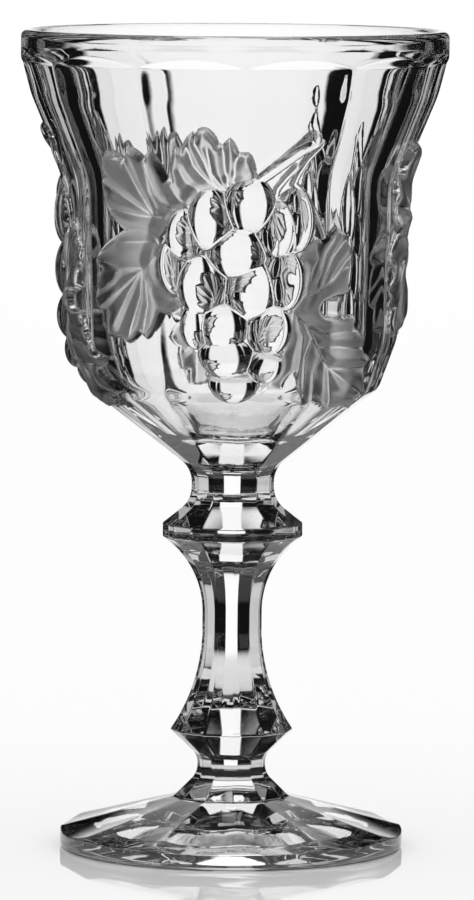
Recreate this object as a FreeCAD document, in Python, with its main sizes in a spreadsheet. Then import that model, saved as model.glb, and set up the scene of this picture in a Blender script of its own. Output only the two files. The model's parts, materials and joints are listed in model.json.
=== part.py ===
"""A pressed glass water goblet: a twelve-panelled bowl, a faceted stem with two knops, a fluted foot,
and a grape-and-vine relief repeated three times round the bowl.

Frame: millimetres, +Z up, origin on the axis at the plane that the foot stands on.
The middle of the first relief faces -Y, on one of the twelve ridges between the panels.
"""
import FreeCAD, Part
import math
import os
import Sketcher

V = FreeCAD.Vector
UP = V(0, 0, 1)

# name and value: millimetres, apart from the two counts and one angle in degrees.
# A rise is a height above the level before it.
SIZES = [
    ("sides", 12),
    ("reliefs", 3),
    # foot, radii measured at the ridges here as everywhere
    ("foot_height", 17.0),
    ("foot_radius", 35.7),
    ("foot_edge_round", 0.8),
    ("foot_rim_height", 3.8),
    ("foot_rim_round", 1.2),
    ("foot_neck_drop", 1.85),
    ("foot_neck_round", 4.0),
    ("foot_flare_radius", 12.0),
    ("foot_flare_round", 2.0),
    ("ridge_top_height", 10.28),
    ("ridge_low_height", 2.15),
    ("flute_start_radius", 13.0),
    ("flute_start_height", 9.9),
    ("flute_end_height", 3.1),
    ("flute_round", 68.0),
    ("recess_radius", 27.0),
    ("recess_depth", 2.6),
    # stem
    ("ankle_radius", 7.1),
    ("ankle_rise", 1.9),
    ("ankle_round", 3.6),
    ("ring_radius", 12.8),
    ("ring_rise", 5.4),
    ("shaft_radius", 6.2),
    ("shaft_foot_rise", 10.5),
    ("shaft_foot_round", 37.0),
    ("shaft_head_rise", 23.4),
    ("shaft_head_round", 19.0),
    ("knop_radius", 14.6),
    ("knop_rise", 6.6),
    ("knop_band", 2.8),
    ("neck_radius", 8.6),
    ("neck_drop", 4.7),
    ("neck_rise", 7.6),
    ("neck_flare", 3.7),
    ("neck_round", 5.8),
    # bowl outside
    ("shoulder_radius", 30.3),
    ("shoulder_rise", 16.7),
    ("shoulder_round", 5.0),
    ("belly_radius", 34.3),
    ("belly_rise", 10.9),
    ("belly_round", 14.0),
    ("waist_radius", 35.3),
    ("waist_rise", 33.3),
    ("waist_round", 20.0),
    ("flare_inset", 2.0),
    ("flare_rise", 16.7),
    ("flare_round", 20.0),
    ("rim_radius", 44.3),
    ("rim_rise", 8.5),
    ("rim_band", 5.0),
    ("rim_step", 0.2),
    ("lip_round", 1.1),
    # cavity
    ("wall", 3.2),
    ("cavity_floor_rise", 8.6),
    ("cavity_floor_radius", 13.0),
    ("cavity_floor_round", 9.0),
    ("cavity_side_lift", 1.2),
    # relief, measured in the view straight at its middle; a drop is below the top of the bunch
    ("cluster_rise", 45.4),
    ("grape_width", 9.4),
    ("grape_length", 10.4),
    ("grape_stand", 3.9),
    ("leaf_depth", 1.5),
    ("leaf_reach", 20.0),
    ("small_leaf_reach", 12.0),
    ("left_leaves_across", -9.0),
    ("side_leaf_across", 10.0),
    ("small_leaf_across", -8.0),
    ("upper_leaf_drop", 10.0),
    ("lower_leaf_drop", 17.0),
    ("side_leaf_drop", 25.0),
    ("small_leaf_drop", 31.0),
    ("twig_radius", 1.5),
    ("tendril_radius", 0.7),
    ("last_relief_lead", 11.0),
]

CUT_REACH = 6.0  # how far a cutting sketch runs past the blank that it cuts
BLANK_MARGIN = 1.5  # how much wider a blank is than the ridges cut into it


class Size:
    """A number together with the spreadsheet expression that gives it."""

    def __init__(self, number, text):
        self.number = float(number)
        self.text = text

    def _join(self, other, sign, number):
        text = other.text if isinstance(other, Size) else repr(float(other))
        return Size(number, "(%s %s %s)" % (self.text, sign, text))

    def __add__(self, other):
        return self._join(other, "+", self.number + plain(other))

    def __sub__(self, other):
        return self._join(other, "-", self.number - plain(other))

    def __mul__(self, other):
        return self._join(other, "*", self.number * plain(other))


def plain(value):
    return value.number if isinstance(value, Size) else float(value)


STEP_ROUND = Size(2.0, "2")  # how softly a panel turns out into the rim band, and the cavity into the lip


class Sheet:
    """The spreadsheet of driving sizes."""

    def __init__(self, doc):
        self.values = dict(SIZES)
        sheet = doc.addObject("Spreadsheet::Sheet", "Sizes")
        for row, (name, number) in enumerate(SIZES, start=1):
            sheet.set("A%d" % row, name)
            sheet.set("B%d" % row, str(number))
            sheet.setAlias("B%d" % row, name)

    def size(self, name):
        return Size(self.values[name], "Sizes." + name)

    def number(self, name):
        return self.values[name]

    def count(self, name):
        return int(self.values[name])


class Corner:
    """A point of a profile: across and up, sharp or with a fillet radius."""

    def __init__(self, across, up, fillet=None):
        self.across = across
        self.up = up
        self.fillet = fillet

    def point(self):
        return V(plain(self.across), plain(self.up), 0)


def fillet_points(before, corner, after):
    """The tangent points and the centre of a corner's fillet."""
    here = corner.point()
    to_before = (before.point() - here).normalize()
    to_after = (after.point() - here).normalize()
    half = to_before.getAngle(to_after) / 2
    radius = plain(corner.fillet)
    run = radius / math.tan(half)
    middle = (to_before + to_after).normalize()
    centre = here + middle * (radius / math.sin(half))
    return here + to_before * run, here + to_after * run, centre


def arc_through(start, end, centre):
    """The shorter arc between two points round a centre, and whether it runs from start to end."""
    radius = (start - centre).Length
    a = math.atan2(start.y - centre.y, start.x - centre.x)
    b = math.atan2(end.y - centre.y, end.x - centre.x)
    forward = (b - a) % (2 * math.pi) < math.pi
    first, last = (a, b) if forward else (b, a)
    if last < first:
        last += 2 * math.pi
    return Part.ArcOfCircle(Part.Circle(centre, V(0, 0, 1), radius), first, last), forward


class Profile:
    """Draws a closed outline of corners in a sketch, with every corner bound to the spreadsheet."""

    def __init__(self, sketch, corners):
        self.sketch = sketch
        self.corners = corners
        self.draw()

    def bind(self, kind, *where, value=None):
        index = self.sketch.addConstraint(Sketcher.Constraint(kind, *where, plain(value)))
        if isinstance(value, Size):
            self.sketch.setExpression("Constraints[%d]" % index, value.text)

    def join(self, kind, *where):
        self.sketch.addConstraint(Sketcher.Constraint(kind, *where))

    def place(self, item, end, corner):
        for kind, value, axis in (("DistanceX", corner.across, -2), ("DistanceY", corner.up, -1)):
            if abs(plain(value)) < 1e-9:
                self.join("PointOnObject", item, end, axis)
            else:
                self.bind(kind, -1, 1, item, end, value=value)

    def draw(self):
        count = len(self.corners)
        entry, leave, centre = [], [], []
        for i, corner in enumerate(self.corners):
            before, after = self.corners[i - 1], self.corners[(i + 1) % count]
            if corner.fillet is None:
                points = (corner.point(), corner.point(), None)
            else:
                points = fillet_points(before, corner, after)
            entry.append(points[0])
            leave.append(points[1])
            centre.append(points[2])
        lines = [self.line(leave[i], entry[(i + 1) % count]) for i in range(count)]
        for i, corner in enumerate(self.corners):
            if corner.fillet is None:
                self.join("Coincident", lines[i - 1], 2, lines[i], 1)
                self.place(lines[i], 1, corner)
                continue
            arc, forward = arc_through(entry[i], leave[i], centre[i])
            item = self.sketch.addGeometry(arc, False)
            start, end = (1, 2) if forward else (2, 1)
            self.join("Tangent", lines[i - 1], 2, item, start)
            self.join("Tangent", item, end, lines[i], 1)
            self.bind("Radius", item, value=corner.fillet)
            tip = self.sketch.addGeometry(Part.Point(corner.point()), True)
            self.join("PointOnObject", tip, 1, lines[i - 1])
            self.join("PointOnObject", tip, 1, lines[i])
            self.place(tip, 1, corner)

    def line(self, start, end):
        return self.sketch.addGeometry(Part.LineSegment(start, end), False)


def origin_plane(body, role):
    return next(f for f in body.Origin.OriginFeatures if f.Role == role)


def profile_sketch(body, name, corners):
    sketch = body.newObject("Sketcher::SketchObject", name)
    sketch.AttachmentSupport = [(origin_plane(body, "XZ_Plane"), "")]
    sketch.MapMode = "FlatFace"
    Profile(sketch, corners)
    return sketch


def revolve(body, name, corners, kind="PartDesign::Revolution"):
    sketch = profile_sketch(body, name + "_profile", corners)
    feature = body.newObject(kind, name)
    feature.Profile = sketch
    feature.ReferenceAxis = (sketch, ["V_Axis"])
    feature.Angle = 360
    return feature


def blank_side(body, name, corners, sheet):
    """The turned blank of one side of the goblet, half of it on each hand of the body's X axis."""
    sector = revolve(body, name, corners)
    sector.Midplane = True
    sector.setExpression("Angle", "360 deg / Sizes.sides")
    sector.Angle = 360.0 / sheet.number("sides")
    return sector


def cut_panel(body, name, corners, width):
    """Cuts a flat panel whose profile, seen from the side, is the outline of corners."""
    pocket = body.newObject("PartDesign::Pocket", name)
    pocket.Profile = profile_sketch(body, name + "_profile", corners)
    pocket.SideType = "Symmetric"
    pocket.setExpression("Length", width.text)
    pocket.Length = width.number
    return pocket


def all_sides(body, name, sheet):
    """Repeats the one finished side all the way round."""
    body.Document.recompute()
    feature = body.newObject("PartDesign::PolarPattern", name)
    feature.TransformMode = "Whole shape"
    feature.Axis = (origin_plane(body, "Z_Axis"), [""])
    feature.Angle = 360
    feature.setExpression("Occurrences", "Sizes.sides")
    feature.Occurrences = sheet.count("sides")
    body.Tip = feature
    return feature


def turned_body(doc, name, sheet):
    """A body turned by half a side, so that a ridge and not a panel faces the front."""
    body = doc.addObject("PartDesign::Body", name)
    turn = 180.0 / sheet.count("sides")
    body.Placement = FreeCAD.Placement(V(), FreeCAD.Rotation(UP, turn))
    return body


def panel_ratio(sheet):
    """Distance to the middle of a flat panel, as a share of the ridge radius."""
    return Size(math.cos(math.pi / sheet.number("sides")), "cos(180 deg / Sizes.sides)")


def levels(sheet):
    """The named heights above the table, each built on the one before it."""
    s = sheet.size
    level = {"ankle": s("foot_height")}
    level["ring"] = level["ankle"] + s("ankle_rise") + s("ring_rise")
    level["shaft_foot"] = level["ring"] + s("shaft_foot_rise")
    level["shaft_head"] = level["shaft_foot"] + s("shaft_head_rise")
    level["knop"] = level["shaft_head"] + s("knop_rise")
    level["knop_top"] = level["knop"] + s("knop_band")
    level["neck"] = level["knop_top"] + s("neck_rise")
    level["shoulder"] = level["neck"] + s("neck_flare") + s("shoulder_rise")
    level["belly"] = level["shoulder"] + s("belly_rise")
    level["waist"] = level["belly"] + s("waist_rise")
    level["flare"] = level["waist"] + s("flare_rise")
    level["band"] = level["flare"] + s("rim_rise")
    level["top"] = level["band"] + s("rim_band")
    return level


def bowl_form(doc, name, sheet, grow):
    """The outside of the bowl as a solid, grown outwards by grow."""
    s = sheet.size
    level = levels(sheet)
    flat = panel_ratio(sheet)
    rim = s("rim_radius") + grow
    body = turned_body(doc, name, sheet)
    blank = [
        Corner(0, level["neck"]),
        Corner(rim, level["neck"]),
        Corner(rim, level["top"], s("lip_round")),
        Corner(0, level["top"]),
    ]
    blank_side(body, name + "_blank", blank, sheet)
    panel_top = (rim - s("rim_step")) * flat
    outside = rim + CUT_REACH
    below = level["neck"] - CUT_REACH
    cut = [
        Corner(outside, level["band"] + CUT_REACH),
        Corner(panel_top, level["band"] - (rim - panel_top), STEP_ROUND),
        Corner((rim - s("flare_inset")) * flat, level["flare"], s("flare_round")),
        Corner((s("waist_radius") + grow) * flat, level["waist"], s("waist_round")),
        Corner((s("belly_radius") + grow) * flat, level["belly"], s("belly_round")),
        Corner((s("shoulder_radius") + grow) * flat, level["shoulder"], s("shoulder_round")),
        Corner((s("neck_radius") + grow) * flat, level["neck"] + s("neck_flare"), s("neck_round")),
        Corner((s("neck_radius") + grow) * flat, below),
        Corner(outside, below),
    ]
    cut_panel(body, name + "_panel", cut, rim * 2.0)
    all_sides(body, name + "_sides", sheet)
    return body


def cavity(doc, sheet):
    """The hollow of the bowl, which a smooth round plunger presses."""
    s = sheet.size
    level = levels(sheet)
    flat = panel_ratio(sheet)
    body = doc.addObject("PartDesign::Body", "cavity")
    floor = level["neck"] + s("neck_flare") + s("cavity_floor_rise")
    over = level["top"] + CUT_REACH
    mouth = s("rim_radius") - s("wall")
    side = s("shoulder_radius") * flat - s("wall")
    corners = [
        Corner(0, floor),
        Corner(s("cavity_floor_radius"), floor, s("cavity_floor_round")),
        Corner(side, level["shoulder"] + s("cavity_side_lift"), s("shoulder_round")),
        Corner(s("belly_radius") * flat - s("wall"), level["belly"], s("belly_round")),
        Corner(s("waist_radius") * flat - s("wall"), level["waist"], s("waist_round")),
        Corner(mouth, level["band"], s("rim_band")),
        Corner(mouth, level["top"] - s("lip_round"), STEP_ROUND),
        Corner(mouth + s("lip_round") + CUT_REACH, over),
        Corner(0, over),
    ]
    revolve(body, "cavity_form", corners)
    return body


def stem(doc, sheet):
    """The solid stem: a wide knop under the bowl, a waisted shaft and a sharp ring over the foot."""
    s = sheet.size
    level = levels(sheet)
    flat = panel_ratio(sheet)
    body = turned_body(doc, "stem", sheet)
    blank_radius = s("knop_radius") + BLANK_MARGIN
    blank = [
        Corner(0, level["ankle"]),
        Corner(blank_radius, level["ankle"]),
        Corner(blank_radius, level["neck"]),
        Corner(0, level["neck"]),
    ]
    blank_side(body, "stem_blank", blank, sheet)
    outside = blank_radius + CUT_REACH
    above = level["neck"] + CUT_REACH
    below = level["ankle"] - CUT_REACH
    cut = [
        Corner(outside, above),
        Corner(s("neck_radius") * flat, above),
        Corner(s("neck_radius") * flat, level["knop_top"] + s("neck_drop"), s("neck_round")),
        Corner(s("knop_radius") * flat, level["knop_top"]),
        Corner(s("knop_radius") * flat, level["knop"]),
        Corner(s("shaft_radius") * flat, level["shaft_head"], s("shaft_head_round")),
        Corner(s("shaft_radius") * flat, level["shaft_foot"], s("shaft_foot_round")),
        Corner(s("ring_radius") * flat, level["ring"]),
        Corner(s("ankle_radius") * flat, level["ankle"] + s("ankle_rise"), s("ankle_round")),
        Corner(s("ankle_radius") * flat, below),
        Corner(outside, below),
    ]
    cut_panel(body, "stem_panel", cut, blank_radius * 2.0)
    all_sides(body, "stem_sides", sheet)
    return body


def cut_flute(body, sheet):
    """Cuts a flute with a long cylinder laid down the slope of the foot."""
    radius = sheet.number("flute_round")
    start = V(sheet.number("flute_start_radius"), 0, sheet.number("flute_start_height"))
    edge = V(sheet.number("foot_radius"), 0, sheet.number("flute_end_height"))
    down = (edge - start).normalize()
    out_of_slope = V(-down.z, 0, down.x)
    cutter = body.newObject("PartDesign::SubtractiveCylinder", "flute")
    cutter.setExpression("Radius", "Sizes.flute_round")
    cutter.Radius = radius
    cutter.Height = (edge - start).Length + CUT_REACH
    cutter.Placement = FreeCAD.Placement(start + out_of_slope * radius, FreeCAD.Rotation(UP, down))


def foot(doc, sheet):
    """The fluted foot, with a shallow dome pressed into its underside."""
    s = sheet.size
    flat = panel_ratio(sheet)
    top = s("foot_height")
    body = turned_body(doc, "foot", sheet)
    blank = [
        Corner(0, 0),
        Corner(s("foot_radius"), 0, s("foot_edge_round")),
        Corner(s("foot_radius"), s("foot_rim_height"), s("foot_rim_round")),
        Corner(s("foot_flare_radius"), top),
        Corner(0, top),
    ]
    blank_side(body, "foot_blank", blank, sheet)
    outside = s("foot_radius") + CUT_REACH
    slope = [
        Corner(outside, top + CUT_REACH),
        Corner(s("ankle_radius") * flat, top + CUT_REACH),
        Corner(s("ankle_radius") * flat, top - s("foot_neck_drop"), s("foot_neck_round")),
        Corner(s("foot_flare_radius") * flat, s("ridge_top_height"), s("foot_flare_round")),
        Corner(outside, s("ridge_low_height")),
    ]
    cut_panel(body, "foot_slope", slope, outside * 2.0)
    cut_flute(body, sheet)
    all_sides(body, "foot_sides", sheet)
    dome = [
        Corner(0, s("recess_depth")),
        Corner(0, -CUT_REACH),
        Corner(s("recess_radius"), -CUT_REACH),
        Corner(s("recess_radius"), 0),
        Corner(s("recess_radius") * 0.7, s("recess_depth") * 0.8, s("recess_radius")),
    ]
    body.Tip = revolve(body, "underside_recess", dome, "PartDesign::Groove")
    return body


# The bunch, in grape widths across and grape lengths down from its top: across, down, breadth, forward
GRAPES = [
    (0.15, 0.50, 0.98, 0.9),
    (-0.68, 0.83, 0.95, 0.5),
    (-1.19, 1.14, 0.88, 0.0),
    (0.78, 1.00, 0.95, 0.3),
    (1.10, 0.78, 0.92, 0.0),
    (-0.15, 1.42, 1.05, 1.0),
    (-0.85, 2.07, 1.03, 0.8),
    (0.88, 1.95, 0.98, 0.3),
    (0.11, 2.20, 1.00, 0.6),
    (-1.42, 1.65, 0.86, 0.0),
    (-1.00, 2.88, 0.74, 0.0),
    (-0.40, 2.86, 0.92, 0.6),
    (0.57, 2.92, 0.93, 0.5),
    (-0.32, 3.46, 0.92, 0.5),
    (0.46, 3.62, 0.72, 0.0),
    (-0.14, 4.02, 0.86, 0.3),
]

# Leaf outlines, in reaches from the foot of the leaf: the tips and notches in order round the leaf.
UPPER_LEAF = [
    (0.50, 0.50), (0.50, 0.77), (0.40, 0.77), (0.31, 0.93), (0.25, 0.86), (0.06, 1.03), (-0.06, 0.96),
    (-0.19, 0.84), (-0.25, 0.50), (-0.47, 0.78), (-0.54, 0.71), (-0.70, 0.82), (-0.74, 0.71),
    (-0.90, 0.78), (-0.90, 0.52), (-0.93, 0.44), (-0.88, 0.18), (-0.70, -0.05), (-0.40, -0.08),
    (-0.10, -0.10), (0.25, 0.10),
]
LOWER_LEAF = [
    (-0.05, 0.10), (-0.45, 0.22), (-0.80, 0.16), (-0.98, -0.03), (-0.92, -0.12), (-0.97, -0.30),
    (-0.97, -0.51), (-0.86, -0.57), (-0.85, -0.80), (-0.74, -0.79), (-0.66, -0.86), (-0.56, -0.74),
    (-0.49, -0.80), (-0.32, -0.54), (-0.17, -0.50), (0.05, -0.50),
]
SIDE_LEAF = [
    (0.10, 0.60), (0.24, 0.70), (0.34, 0.62), (0.49, 0.78), (0.60, 0.67), (0.64, 0.48), (0.60, 0.30),
    (0.58, 0.06), (0.40, 0.00), (0.32, -0.08), (0.40, -0.16), (0.65, -0.15), (0.76, -0.38),
    (0.84, -0.62), (0.78, -0.74), (0.78, -0.96), (0.62, -1.14), (0.50, -1.08), (0.38, -1.15),
    (0.24, -1.05), (0.14, -1.11), (0.04, -0.72), (-0.08, -0.90), (-0.32, -0.96), (-0.34, -0.60),
    (-0.20, -0.10),
]
SMALL_LEAF = [
    (-0.10, 0.25), (-0.43, 0.28), (-0.55, -0.10), (-0.40, -0.28), (-0.36, -0.64), (-0.24, -0.67),
    (-0.22, -0.91), (0.12, -0.88), (0.22, -0.60), (0.30, 0.00),
]
# What fills the bunch behind its grapes, and the tendril beside it, in the same units as the grapes.
CORE = [
    (0.15, 0.25), (-0.68, 0.60), (-1.25, 1.00), (-1.45, 1.60), (-1.05, 2.75), (-0.50, 3.50),
    (-0.14, 4.20), (0.45, 3.75), (0.75, 2.95), (0.95, 2.00), (1.20, 0.80), (0.75, 0.60),
]
TWIG_END = (1.55, -0.81)
TWIG_FOOT = (0.20, 0.19)
TENDRIL = [(1.51, -0.63), (1.30, -0.31), (1.21, 0.10), (1.43, 0.58), (1.60, 1.06)]
TOOTH_BULGE = 0.10  # how far the edge between a tip and a notch bows out, as a share of its length
CORE_SHARE = 0.8  # how much of the leaves' depth the bunch's core has


def wall_point(form, across, up, lift=0.0):
    """The point of the bowl's front at a place across and up, lifted off the surface by lift."""
    ray = Part.makeLine(V(across, -2 * form.BoundBox.XMax, up), V(across, 0, up))
    hit = ray.common(form)
    nearest = min(v.Point.y for v in hit.Vertexes)
    outward = V(across, nearest, 0).normalize()
    return V(across, nearest, up) + outward * lift


def in_bunch(sheet, across, down):
    """A place in the bunch, given in grapes, as millimetres across and up."""
    top = levels(sheet)["shoulder"] + sheet.size("cluster_rise")
    return across * sheet.number("grape_width"), top.number - down * sheet.number("grape_length")


def grape(form, sheet, across, down, breadth, forward):
    """One grape: an upright ellipsoid that stands out of the wall."""
    half_width = sheet.number("grape_width") / 2 * breadth
    half_length = sheet.number("grape_length") / 2 * breadth
    stand = sheet.number("grape_stand") * (0.85 + 0.3 * forward)
    centre = wall_point(form, *in_bunch(sheet, across, down), stand - half_width)
    if half_length > half_width:
        ellipse = Part.Ellipse(V(0, half_length, 0), V(half_width, 0, 0), V())
    else:
        ellipse = Part.Ellipse(V(half_width, 0, 0), V(0, half_length, 0), V())
    edge = ellipse.toShape(0, math.pi)
    first, last = edge.Vertexes
    wire = Part.Wire([edge, Part.makeLine(last.Point, first.Point)])
    solid = Part.Face(wire).revolve(V(), V(0, 1, 0), 360)
    solid.Placement = FreeCAD.Placement(centre, FreeCAD.Rotation(V(1, 0, 0), 90))
    return solid


def mould_prism(points, depth):
    """The space in front of the axis within an outline of places across and up."""
    edges = [bowed_edge(V(*a), V(*b), depth) for a, b in zip(points, points[1:] + points[:1])]
    return Part.Face(Part.Wire(edges)).extrude(V(0, depth, 0))


def bowed_edge(a, b, depth):
    """An edge of an anticlockwise outline, bowed outwards from its chord and drawn in front of the bowl."""
    chord = b - a
    middle = (a + b) * 0.5 + V(chord.y, -chord.x, 0) * TOOTH_BULGE
    return Part.Arc(*[V(p.x, -depth, p.y) for p in (a, middle, b)]).toShape()


def grape_cluster(form, core_ring, sheet):
    grapes = [grape(form, sheet, *place) for place in GRAPES]
    outline = [in_bunch(sheet, *place) for place in CORE]
    core = core_ring.common(mould_prism(outline, 2 * sheet.number("rim_radius")))
    return core.fuse(grapes).cut(form)


def leaf(ring, sheet, across, drop, reach, outline):
    """A leaf of even thickness on the wall, with its sides drawn straight out of the mould."""
    x, z = sheet.number(across), in_bunch(sheet, 0, 0)[1] - sheet.number(drop)
    size = sheet.number(reach)
    points = [(x + a * size, z + b * size) for a, b in outline]
    return ring.common(mould_prism(points, 2 * sheet.number("rim_radius")))


def twig(form, sheet):
    """The cut end of the vine that the bunch hangs from, with the tendril that runs down beside it."""
    thick = sheet.number("twig_radius")
    end = wall_point(form, *in_bunch(sheet, *TWIG_END), thick * 0.3)
    start = wall_point(form, *in_bunch(sheet, *TWIG_FOOT), thick * 0.3)
    rod = Part.makeCone(thick * 0.75, thick, (end - start).Length, start, end - start)
    thin = sheet.number("tendril_radius")
    curve = Part.BSplineCurve()
    curve.interpolate([wall_point(form, *in_bunch(sheet, *place), thin * 0.5) for place in TENDRIL])
    direction = curve.tangent(curve.FirstParameter)[0]
    ring = Part.Wire([Part.makeCircle(thin, curve.StartPoint, direction)])
    tendril = Part.Wire([curve.toShape()]).makePipeShell([ring], True, False)
    return rod.fuse(tendril).cut(form)


def relief_pieces(form, core_form, leaf_form, sheet):
    """The pieces of one relief, on the front of the bowl, each seated on the wall and clear of the rest."""
    ring = leaf_form.cut(form)
    cluster = grape_cluster(form, core_form.cut(form), sheet)
    stalk = twig(form, sheet).cut(cluster)
    left, right = "left_leaves_across", "side_leaf_across"
    leaves = {
        "upper_leaf": leaf(ring, sheet, left, "upper_leaf_drop", "leaf_reach", UPPER_LEAF),
        "lower_leaf": leaf(ring, sheet, left, "lower_leaf_drop", "leaf_reach", LOWER_LEAF),
        "side_leaf": leaf(ring, sheet, right, "side_leaf_drop", "leaf_reach", SIDE_LEAF),
        "small_leaf": leaf(ring, sheet, "small_leaf_across", "small_leaf_drop", "small_leaf_reach",
                           SMALL_LEAF),
    }
    in_front = cluster.fuse(stalk)
    pieces = {}
    for name, shape in leaves.items():
        pieces[name] = shape.cut(in_front)
        in_front = in_front.fuse(shape)
    pieces["grape_cluster"] = cluster
    pieces["vine_twig"] = stalk
    return pieces


def turned(shape, degrees):
    """A copy of the shape, turned about the goblet's axis."""
    copy = shape.copy()
    copy.rotate(V(), UP, degrees)
    return copy


def relief_angles(sheet):
    """Where the reliefs stand: evenly spaced, apart from the last, which leads towards the first."""
    turns = sheet.count("reliefs")
    angles = [360.0 / turns * turn for turn in range(turns)]
    angles[-1] += sheet.number("last_relief_lead")
    return angles


def largest_solid(shape):
    """The shape's main solid, without the slivers that a cut can leave."""
    return max(shape.Solids, key=lambda solid: solid.Volume)


def main():
    doc = FreeCAD.newDocument("goblet")
    sheet = Sheet(doc)
    form = bowl_form(doc, "bowl_form", sheet, Size(0, "0"))
    core_form = bowl_form(doc, "core_form", sheet, sheet.size("leaf_depth") * CORE_SHARE)
    leaf_form = bowl_form(doc, "leaf_form", sheet, sheet.size("leaf_depth"))
    hollow = cavity(doc, sheet)
    bowl = doc.addObject("Part::Cut", "bowl")
    bowl.Base = form
    bowl.Tool = hollow
    nodes = [bowl, stem(doc, sheet), foot(doc, sheet)]
    doc.recompute()
    forms = [form.Shape, core_form.Shape, leaf_form.Shape]
    side = 360.0 / sheet.count("sides")
    made = {}  # the pieces of a relief, by how far it stands round from a ridge
    for turn, angle in enumerate(relief_angles(sheet)):
        past_ridge = round(angle % side, 6)
        if past_ridge not in made:
            made[past_ridge] = relief_pieces(*[turned(shape, -past_ridge) for shape in forms], sheet)
        for name, shape in made[past_ridge].items():
            node = doc.addObject("Part::Feature", "%s_%d" % (name, turn + 1))
            node.Shape = largest_solid(shape)
            node.Placement = FreeCAD.Placement(V(), FreeCAD.Rotation(UP, angle))
            nodes.append(node)
    doc.recompute()
    for item in doc.Objects:
        if {"Invalid", "Error"} & set(item.State):
            raise RuntimeError("%s failed: %s" % (item.Label, item.State))
    os.makedirs("parts", exist_ok=True)
    for node in nodes:
        shape = node.Shape
        if shape.isNull() or not shape.isValid() or not shape.Solids:
            raise RuntimeError("%s has no valid solid" % node.Label)
        shape.exportStep("parts/%s.step" % node.Label)
        print("%-18s solids %d  volume %9.1f  faces %d" % (
            node.Label, len(shape.Solids), shape.Volume, len(shape.Faces)))


main()
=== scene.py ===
"""A pressed-glass water goblet with a grape-and-vine relief, on a pale floor in soft studio light.

Lengths are worked out in millimetres and turned into metres where a mesh is made. The relief is a field
of heights over the bowl's wall, so that grapes, leaves and wall make one unbroken skin of glass. Each
piece of relief is a closed mesh with its front on that skin. Faces where two pieces of the one glass
meet are of the "joint" material, which light passes as if nothing were there.
"""
import json
import math

import bpy
import numpy as np
from mathutils import Matrix, Vector

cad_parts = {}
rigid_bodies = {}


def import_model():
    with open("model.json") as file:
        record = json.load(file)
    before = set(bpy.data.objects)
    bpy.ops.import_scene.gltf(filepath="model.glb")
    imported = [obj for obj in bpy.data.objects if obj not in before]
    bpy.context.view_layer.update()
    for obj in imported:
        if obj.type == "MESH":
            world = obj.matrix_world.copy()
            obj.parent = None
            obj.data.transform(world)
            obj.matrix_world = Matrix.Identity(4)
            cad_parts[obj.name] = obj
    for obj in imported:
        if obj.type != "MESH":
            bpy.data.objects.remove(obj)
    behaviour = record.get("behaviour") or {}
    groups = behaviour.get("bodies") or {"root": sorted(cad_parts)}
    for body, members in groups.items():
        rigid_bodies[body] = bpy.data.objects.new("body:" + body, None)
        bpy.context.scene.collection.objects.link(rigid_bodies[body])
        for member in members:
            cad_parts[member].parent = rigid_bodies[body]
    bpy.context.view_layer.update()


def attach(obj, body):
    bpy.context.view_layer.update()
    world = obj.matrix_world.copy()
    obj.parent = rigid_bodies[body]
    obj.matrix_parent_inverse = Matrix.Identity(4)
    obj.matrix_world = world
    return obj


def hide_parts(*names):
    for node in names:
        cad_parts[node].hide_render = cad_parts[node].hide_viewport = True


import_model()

MM = 0.001
SIDES = 12
HALF_SIDE = math.pi / SIDES
FLAT = math.cos(HALF_SIDE)  # a panel's distance from the axis, as a share of its ridges' radius
FRONT = -math.pi / 2
RELIEF_TURNS = (0.0, math.radians(120), math.radians(251))

# Fineness: columns round the goblet, and millimetres between rows along the profile. An arc has a row
# for each ARC_STEP millimetres or ARC_TURN radians, then rows nearer than CROWDED steps are dropped.
COLUMNS = 960
RELIEF_ROW = 0.25
PLAIN_ROW, FINE_ROW, CAVITY_ROW = 0.9, 0.35, 1.2
ARC_STEP, ARC_TURN, CROWDED = 0.3, 0.12, 0.6
SAME_POINT = 1e-6

# Heights and ridge radii of the solids, in millimetres.
FOOT_TOP, NECK, BAND, TOP = 17.0, 75.2, 165.0, 170.0
RIM_RADIUS, WALL, RIM_STEP = 44.3, 3.2, 0.2
FOOT_RADIUS, ANKLE_RADIUS, NECK_RADIUS = 35.7, 7.1, 8.6
POLE = 0.6  # radius of the ring round the point that closes an end

# Corners of the bowl's wall: ridge radius, height and fillet.
NECK_FLARE, NECK_ROUND = 3.7, 5.8
SHOULDER, BELLY, WAIST = (30.3, 95.6, 5.0), (34.3, 106.5, 14.0), (35.3, 139.8, 20.0)
FLARE_INSET, FLARE_HEIGHT, FLARE_ROUND = 2.0, 156.5, 20.0

# How sharply the panels meet: the higher the power, the crisper the ridges.
PANEL_POWER = 170.0


# ---------------------------------------------------------------- profiles

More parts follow.
